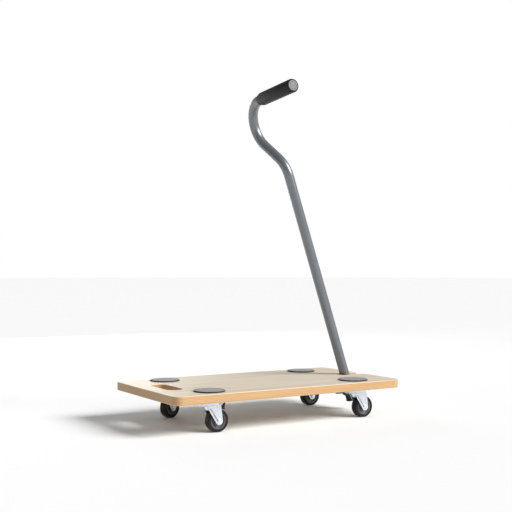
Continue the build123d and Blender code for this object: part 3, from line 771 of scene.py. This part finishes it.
class CART_OT_foot_cap(bpy.types.Operator):
    """Make the plastic cap on the tube's lower end"""

    bl_idname = "cart.foot_cap"
    bl_label = "Foot cap"

    def execute(self, context):
        look = context.scene.cart_handle
        place = handle_place(look) @ Matrix.Translation((0.0, -look.tail, 0.0)) @ Z_TO_Y
        sleeve_top = look.cap_length - look.cap_floor
        bead = look.cap_radius + 0.0005
        outline = [
            (0.0, -look.cap_floor), (look.cap_rim_radius - 0.0012, -look.cap_floor),
            (look.cap_rim_radius, 0.0012 - look.cap_floor), (look.cap_rim_radius, -0.0006),
            (look.cap_radius, 0.0006), (look.cap_radius, sleeve_top - 0.0024),
            (bead, sleeve_top - 0.0018), (bead, sleeve_top - 0.0006),
            (look.cap_radius - 0.0003, sleeve_top), (look.tube_radius + FIT, sleeve_top),
            (look.tube_radius + FIT, FIT), (0.0, FIT),
        ]
        plastic = moulded("cap_plastic", look.foam, 0.45)
        piece(
            "foot_cap", lathed(outline, place), plastic, "handle",
            ["tube_foot_cap"], soft_edge=0.0003,
        )
        return {"FINISHED"}


# ---- operators: bracket and hardware
class CART_OT_bracket(bpy.types.Operator):
    """Finish the hinge bracket, its sleeves and its washers"""

    bl_idname = "cart.bracket"
    bl_label = "Handle bracket"

    def execute(self, context):
        look = context.scene.cart_fasteners
        dress(powder_coat("bracket_paint", look.bracket), "handle_bracket")
        dress(moulded("washer_nylon", look.nylon, 0.45), "pivot_washers")
        dress(plated("sleeve_steel", look.steel, 0.22, 0.05), "pivot_sleeve")
        dress(foam_rubber("stop_rubber", look.rubber, 0.6, 0.0006), "stop_sleeve")
        dress(bolt_zinc(look), "hinge_washers")
        return {"FINISHED"}


class CART_OT_bolts(bpy.types.Operator):
    """Make the hinge bolt, the stop bolt and their nuts"""

    bl_idname = "cart.bolts"
    bl_label = "Bolts and nuts"

    def execute(self, context):
        look = context.scene.cart_fasteners
        zinc = bolt_zinc(look)
        for name, (flats, head, radius, nut) in BOLTS.items():
            low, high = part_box(f"{name}_bolt")
            middle = (low + high) / 2
            place = Matrix.Translation((middle.x, 0.0, middle.z)) @ Z_TO_Y
            pitch = look.thread_pitch if name == "hinge" else look.thread_pitch * 0.4
            nut_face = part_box(f"{name}_nut")[0].y
            bm = bmesh.new()
            hexagon(bm, flats, head, place @ Matrix.Translation((0, 0, low.y)))
            turned(bm, threaded(radius, nut_face, high.y, pitch), place, 48)
            turned(
                bm,
                [(0.0, low.y + head), (radius, low.y + head), (radius, nut_face), (0.0, nut_face)],
                place, 48,
            )
            piece(
                f"{name}_hex_bolt", bm, zinc, "deck", [f"{name}_bolt"],
                look.bolt_chamfer / 2,
            )
            bm = bmesh.new()
            hexagon(bm, flats, nut, place @ Matrix.Translation((0, 0, nut_face)))
            piece(
                f"{name}_hex_nut", bm, zinc, "deck", [f"{name}_nut"],
                look.bolt_chamfer,
            )
        return {"FINISHED"}


class CART_OT_screws(bpy.types.Operator):
    """Make the cross-recessed pan heads of the screws under the deck"""

    bl_idname = "cart.screws"
    bl_label = "Wood screws"

    sides = 24
    rim_sides = 12
    recess_depth = 0.0013
    rim = 0.55

    def screw(self, bm, look, x, y):
        """One pan head, seen from below, with its cross recess."""
        bottom = look.plate_bottom - look.screw_head_thick
        radius = look.screw_head_radius
        place = Matrix.Translation((x, y, 0.0))
        turned(
            bm,
            [
                (radius * self.rim, bottom), (radius * 0.8, bottom + 0.0003),
                (radius, bottom + 0.0012), (radius, look.plate_bottom),
                (radius * self.rim, look.plate_bottom),
            ],
            place, self.sides,
        )
        cell = look.screw_recess / 3
        cross = bmesh.ops.create_grid(
            bm, x_segments=3, y_segments=3, size=look.screw_recess / 2,
            matrix=Matrix.Translation((x, y, bottom)),
        )["verts"]
        faces = list({face for vert in cross for face in vert.link_faces})
        spare = [
            face for face in faces
            if abs(face.calc_center_median().x - x) > cell / 2
            and abs(face.calc_center_median().y - y) > cell / 2
        ]
        kept = [face for face in faces if face not in spare]
        bmesh.ops.delete(bm, geom=spare, context="FACES")
        rim = list({edge for face in kept for edge in face.edges if edge.is_boundary})
        floor = bmesh.ops.extrude_face_region(bm, geom=kept)["geom"]
        sunk = only(BMVert, floor)
        bmesh.ops.translate(bm, vec=(0.0, 0.0, self.recess_depth), verts=sunk)
        bmesh.ops.scale(bm, vec=(0.7, 0.7, 1.0), verts=sunk, space=Matrix.Translation((-x, -y, 0.0)))
        bmesh.ops.delete(bm, geom=[face for face in kept if face.is_valid], context="FACES_ONLY")
        rim = [edge for edge in rim if edge.is_valid]
        hole = bmesh.ops.create_circle(
            bm, cap_ends=False, segments=self.rim_sides, radius=radius * self.rim,
            matrix=Matrix.Translation((x, y, bottom)) @ Matrix.Rotation(pi / self.rim_sides, 4, "Z"),
        )["verts"]
        ring = list({edge for vert in hole for edge in vert.link_edges})
        bmesh.ops.bridge_loops(bm, edges=rim + ring)

    def execute(self, context):
        look = context.scene.cart_fasteners
        zinc = bolt_zinc(look)
        half = look.plate_holes / 2
        middles = [caster_place(corner).translation for corner in CORNERS]
        places = [
            (middle.x + i * half, middle.y + j * half)
            for middle in middles for i in (-1, 1) for j in (-1, 1)
        ]
        inset = look.screw_head_radius
        low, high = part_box("bracket_screws")
        bracket = [
            (x, y) for x in (low.x + inset, high.x - inset) for y in (low.y + inset, high.y - inset)
        ]
        groups = {"caster_screws": places, "bracket_screws": bracket}
        for name, centres in groups.items():
            bm = bmesh.new()
            for x, y in centres:
                self.screw(bm, look, x, y)
            piece(f"{name}_pan_heads", bm, zinc, "deck", [name])
        return {"FINISHED"}


# ---- operators: casters
class CART_OT_plates(bpy.types.Operator):
    """Finish the caster plates and make the domed kingpins"""

    bl_idname = "cart.plates"
    bl_label = "Caster plates"

    def execute(self, context):
        look = context.scene.cart_casters
        zinc = caster_zinc(look)
        dress(zinc, *(f"caster_plate_{corner}" for corner in CORNERS))
        head = look.pin_head_radius
        thick = look.pin_head_top - look.pin_head_bottom
        outline = [
            (0.0, look.pin_head_bottom), (0.35 * head, look.pin_head_bottom),
            (0.72 * head, look.pin_head_bottom + 0.16 * thick),
            (0.93 * head, look.pin_head_bottom + 0.42 * thick),
            (head, look.pin_head_bottom + 0.72 * thick), (head, look.pin_head_top),
            (look.pin_radius, look.pin_head_top), (look.pin_radius, look.pin_top),
            (0.0, look.pin_top),
        ]
        for corner in CORNERS:
            piece(
                f"kingpin_rivet_{corner}", lathed(outline, caster_place(corner), SMALL_ROUND), zinc,
                "deck", [f"kingpin_{corner}"], soft_edge=0.0004,
            )
        return {"FINISHED"}


class CART_OT_forks(bpy.types.Operator):
    """Press the four caster forks"""

    bl_idname = "cart.forks"
    bl_label = "Caster forks"

    def leg(self, bm, look, trail, side):
        """One leg: a flat tapering sheet with a round tip and a channel pressed in its outer face."""
        middle = side * (look.leg_inner + look.leg_thick / 2)
        tip = bmesh.ops.create_cone(
            bm, cap_ends=True, segments=48, radius1=look.leg_tip, radius2=look.leg_tip,
            depth=look.leg_thick,
            matrix=Matrix.Translation((trail, middle, look.wheel_radius)) @ Z_TO_Y.inverted(),
        )["verts"]
        shoulder_top = look.crown_top - 0.0001
        shoulder = block(
            bm,
            (look.leg_front + look.leg_rear, look.leg_thick, shoulder_top - look.leg_shoulder),
            ((look.leg_rear - look.leg_front) / 2, middle, (shoulder_top + look.leg_shoulder) / 2),
        )
        old = list({face for vert in tip + shoulder for face in vert.link_faces})
        bmesh.ops.delete(bm, geom=old, context="FACES_ONLY")
        hull = bmesh.ops.convex_hull(bm, input=tip + shoulder, use_existing_faces=False)
        inside = list(set(only(BMVert, hull["geom_interior"])))
        bmesh.ops.delete(bm, geom=inside, context="VERTS")
        leg = [vert for vert in tip + shoulder if vert.is_valid]
        edges = list({edge for vert in leg for edge in vert.link_edges})
        bmesh.ops.delete(bm, geom=[edge for edge in edges if not edge.link_faces], context="EDGES")
        edges = [edge for edge in edges if edge.is_valid]
        bmesh.ops.dissolve_limit(bm, angle_limit=radians(1), verts=leg, edges=edges)
        leg = [vert for vert in leg if vert.is_valid]
        faces = list({face for vert in leg for face in vert.link_faces})
        outer = max(faces, key=lambda face: side * face.calc_center_median().y)
        outer.normal_update()
        if outer.normal.y * side < 0:
            bmesh.ops.reverse_faces(bm, faces=faces)
        bmesh.ops.inset_region(bm, faces=[outer], thickness=look.emboss_rim, use_even_offset=True)
        bmesh.ops.inset_region(
            bm, faces=[outer], thickness=look.emboss_slope, depth=-look.emboss_depth,
            use_even_offset=True,
        )

    def execute(self, context):
        look = context.scene.cart_casters
        zinc = caster_zinc(look)
        groove = 0.0009
        ring = look.ball_ring
        bore = look.pin_radius + FIT
        outline = [
            (bore, look.bowl_bottom), (look.bowl_small_radius, look.bowl_bottom),
            (look.bowl_large_radius, look.crown_bottom), (look.crown_radius, look.crown_bottom),
            (look.crown_radius, look.crown_top), (look.race_outer, look.crown_top),
            (look.race_outer, look.race_top), (ring + 2 * groove, look.race_top),
            (ring + groove, look.race_top - groove), (ring - groove, look.race_top - groove),
            (ring - 2 * groove, look.race_top), (look.race_inner, look.race_top),
            (look.race_inner, look.crown_top), (bore, look.crown_top),
        ]
        for corner in CORNERS:
            trail = (
                Vector(JOINTS[f"wheel_{corner}_spin"]["pos_m"]).xy
                - Vector(JOINTS[f"swivel_{corner}_turn"]["pos_m"]).xy
            ).length
            bm = bmesh.new()
            turned(bm, outline, Matrix.Identity(4))
            for side in (-1, 1):
                self.leg(bm, look, trail, side)
            tail_start = 0.008
            tail_thick = look.crown_top - look.crown_bottom - 0.0002
            block(
                bm,
                (look.leg_rear - tail_start, 2 * look.leg_inner + 0.001, tail_thick),
                ((look.leg_rear + tail_start) / 2, 0.0, (look.crown_top + look.crown_bottom) / 2),
            )
            bmesh.ops.transform(bm, matrix=caster_place(corner), verts=bm.verts)
            piece(
                f"pressed_fork_{corner}", bm, zinc, f"swivel_{corner}",
                [f"fork_{corner}"], soft_edge=0.0003,
            )
        return {"FINISHED"}


class CART_OT_balls(bpy.types.Operator):
    """Make the swivel balls"""

    bl_idname = "cart.balls"
    bl_label = "Swivel balls"

    def execute(self, context):
        look = context.scene.cart_casters
        steel = plated("ball_steel", context.scene.cart_fasteners.steel, 0.16, 0.02)
        for corner in CORNERS:
            bm = bmesh.new()
            for ball in range(look.ball_count):
                turn = Matrix.Rotation(2 * pi * ball / look.ball_count, 4, "Z")
                out = Matrix.Translation((look.ball_ring, 0.0, look.ball_height))
                bmesh.ops.create_uvsphere(
                    bm, u_segments=20, v_segments=12, radius=look.ball_radius,
                    matrix=caster_place(corner) @ turn @ out,
                )
            piece(
                f"race_balls_{corner}", bm, steel, f"swivel_{corner}",
                [f"swivel_balls_{corner}"],
            )
        return {"FINISHED"}


class CART_OT_axles(bpy.types.Operator):
    """Make the wheel axles and their nuts"""

    bl_idname = "cart.axles"
    bl_label = "Axles and nuts"

    def execute(self, context):
        look = context.scene.cart_casters
        zinc = caster_zinc(look)
        face = look.leg_inner + look.leg_thick
        end = face + look.nut_thick + look.axle_proud
        head = look.axle_head_radius
        thick = look.axle_head_thick
        outline = [
            (0.0, -face - thick), (0.45 * head, -face - thick), (0.8 * head, -face - 0.78 * thick),
            (head, -face - 0.3 * thick), (head, -face), (look.axle_radius, -face),
            (look.axle_radius, face + look.nut_thick), (look.axle_radius, end - 0.0004),
            (look.axle_radius - 0.0005, end), (0.0, end),
        ]
        for corner in CORNERS:
            piece(
                f"axle_rivet_{corner}", lathed(outline, axle_place(corner), SMALL_ROUND), zinc,
                f"swivel_{corner}", [f"axle_{corner}"], soft_edge=0.0002,
            )
            bm = bmesh.new()
            place = axle_place(corner) @ Matrix.Translation((0.0, 0.0, face))
            hexagon(bm, look.nut_flats, look.nut_thick, place)
            piece(
                f"axle_hex_nut_{corner}", bm, zinc, f"swivel_{corner}",
                [f"axle_nut_{corner}"], soft_edge=0.0004,
            )
        return {"FINISHED"}


class CART_OT_wheels(bpy.types.Operator):
    """Make the dished hubs and the rubber tyres"""

    bl_idname = "cart.wheels"
    bl_label = "Wheels"

    def hub_side(self, look, side):
        """Half of the hub's outline, from its boss to its rim, on one side of the wheel."""
        points = [
            (look.hub_bore, look.hub_boss_width / 2), (look.hub_boss, look.hub_boss_width / 2),
            (look.hub_boss + look.hub_draft, look.hub_web / 2 + 0.0004),
            (look.hub_boss + look.hub_draft + 0.0012, look.hub_web / 2),
            (look.hub_recess - look.hub_draft - 0.0012, look.hub_web / 2),
            (look.hub_recess - look.hub_draft, look.hub_web / 2 + 0.0006),
            (look.hub_recess - 0.0004, look.hub_width / 2 - 0.0009),
            (look.hub_recess + 0.0004, look.hub_width / 2),
            (look.tyre_inner - 0.0001, look.hub_width / 2),
        ]
        return [(radius, side * height) for radius, height in points]

    def execute(self, context):
        look = context.scene.cart_casters
        plastic = moulded("hub_plastic", look.hub, 0.40)
        rubber = tyre_rubber(look)
        half = look.tyre_width / 2
        hub = self.hub_side(look, 1) + self.hub_side(look, -1)[::-1]
        tread = [
            (look.tyre_inner, -half), (look.wheel_radius, -half), (look.wheel_radius, half),
            (look.tyre_inner, half),
        ]
        for corner in CORNERS:
            piece(
                f"dished_hub_{corner}", lathed(hub, axle_place(corner)), plastic,
                f"wheel_{corner}", [f"wheel_hub_{corner}"], soft_edge=0.0002,
            )
            bm = lathed(tread, Matrix.Identity(4))
            shoulders = [
                edge for edge in bm.edges
                if all(vert.co.xy.length > look.wheel_radius - 1e-6 for vert in edge.verts)
                and abs(edge.verts[0].co.z - edge.verts[1].co.z) < 1e-6
            ]
            round_edges(bm, shoulders, look.tyre_shoulder, 8)
            bmesh.ops.transform(bm, matrix=axle_place(corner), verts=bm.verts)
            piece(
                f"rubber_tyre_{corner}", bm, rubber, f"wheel_{corner}",
                [f"tyre_{corner}"], soft_edge=0.0004,
            )
        return {"FINISHED"}


class CART_OT_brakes(bpy.types.Operator):
    """Finish the brake levers and their pins"""

    bl_idname = "cart.brakes"
    bl_label = "Brakes"

    def execute(self, context):
        look = context.scene.cart_casters
        dress(moulded("lever_plastic", look.lever, 0.42), *(f"brake_lever_{c}" for c in BRAKED))
        dress(caster_zinc(look), *(f"brake_pin_{c}" for c in BRAKED))
        return {"FINISHED"}


# ---- operator: stage
class CART_OT_stage(bpy.types.Operator):
    """Set the floor, the light and the camera"""

    bl_idname = "cart.stage"
    bl_label = "Stage"

    def lamp(self, name, kind, power, place, aim):
        """A lamp that points at aim and doesn't show itself."""
        data = bpy.data.lights.new(name, kind)
        data.energy = power
        lamp = shown(name, data)
        lamp.location = place
        lamp.rotation_euler = (Vector(aim) - Vector(place)).to_track_quat("-Z", "Y").to_euler()
        lamp.visible_camera = False
        return data

    def execute(self, context):
        look = context.scene.cart_stage
        bm = bmesh.new()
        bmesh.ops.create_circle(bm, cap_ends=True, segments=64, radius=look.floor_size)
        material, tree, shader, place = finish("floor_paper", Roughness=0.9, Specular_IOR_Level=0.1)
        pattern = noise(tree, place, 3.0)
        tone = toned(tree, pattern, look.floor, (0.995, 1.005), (0.3, 0.7))
        tree.links.new(tone, shader.inputs["Base Color"])
        meshed("studio_floor", bm, material)

        world = bpy.data.worlds.new("studio_room")
        world.use_nodes = True
        room = world.node_tree
        seen = add(room, "ShaderNodeLightPath", {}).outputs["Is Camera Ray"]
        strength = spread(room, seen, look.sky, look.backdrop)
        room.links.new(strength, room.nodes["Background"].inputs["Strength"])
        room.nodes["Background"].inputs["Color"].default_value = (1.0, 1.0, 1.0, 1.0)
        context.scene.world = world
        context.scene.view_settings.view_transform = "Standard"

        middle = (0.0, 0.0, 0.2)
        self.lamp("key_light", "SUN", look.key, (1.3, -1.5, 1.5), middle).angle = look.key_spread
        self.lamp("low_light", "AREA", look.low_light, (0.2, 2.6, 0.7), middle).size = 1.6

        lens = bpy.data.cameras.new("camera")
        lens.lens = look.lens
        lens.sensor_width = 36.0
        camera = shown("camera", lens)
        camera.location = look.camera_place
        camera.rotation_euler = Euler((pi / 2 + look.camera_pitch, 0.0, -look.camera_heading))
        context.scene.camera = camera
        return {"FINISHED"}


OPERATORS = (
    CART_OT_deck, CART_OT_pads, CART_OT_tube, CART_OT_grip, CART_OT_foot_cap, CART_OT_bracket,
    CART_OT_bolts, CART_OT_screws, CART_OT_plates, CART_OT_forks, CART_OT_balls, CART_OT_axles,
    CART_OT_wheels, CART_OT_brakes, CART_OT_stage,
)
LOOKS = {
    "cart_deck": DeckLook,
    "cart_handle": HandleLook,
    "cart_casters": CasterLook,
    "cart_fasteners": FastenerLook,
    "cart_stage": StageLook,
}


class CART_PT_panel(bpy.types.Panel):
    """Lists the cart's pieces and their sizes"""

    bl_idname = "CART_PT_panel"
    bl_label = "Folding platform cart"
    bl_space_type = "VIEW_3D"
    bl_region_type = "UI"
    bl_category = "Cart"

    def draw(self, context):
        for operator in OPERATORS:
            self.layout.operator(operator.bl_idname)
        for name, group in LOOKS.items():
            column = self.layout.box().column()
            for setting in group.__annotations__:
                column.prop(getattr(context.scene, name), setting)


def register():
    """Add the settings, the operators and the panel."""
    for name, group in LOOKS.items():
        bpy.utils.register_class(group)
        setattr(bpy.types.Scene, name, PointerProperty(type=group))
    for operator in OPERATORS:
        bpy.utils.register_class(operator)
    bpy.utils.register_class(CART_PT_panel)


def unregister():
    """Take them away again."""
    bpy.utils.unregister_class(CART_PT_panel)
    for operator in reversed(OPERATORS):
        bpy.utils.unregister_class(operator)
    for name, group in reversed(LOOKS.items()):
        delattr(bpy.types.Scene, name)
        bpy.utils.unregister_class(group)


def main():
    """Build every piece and the stage."""
    register()
    bpy.ops.cart.deck()
    bpy.ops.cart.pads()
    bpy.ops.cart.tube()
    bpy.ops.cart.grip()
    bpy.ops.cart.foot_cap()
    bpy.ops.cart.bracket()
    bpy.ops.cart.bolts()
    bpy.ops.cart.screws()
    bpy.ops.cart.plates()
    bpy.ops.cart.forks()
    bpy.ops.cart.balls()
    bpy.ops.cart.axles()
    bpy.ops.cart.wheels()
    bpy.ops.cart.brakes()
    bpy.ops.cart.stage()


if __name__ == "__main__":
    main()
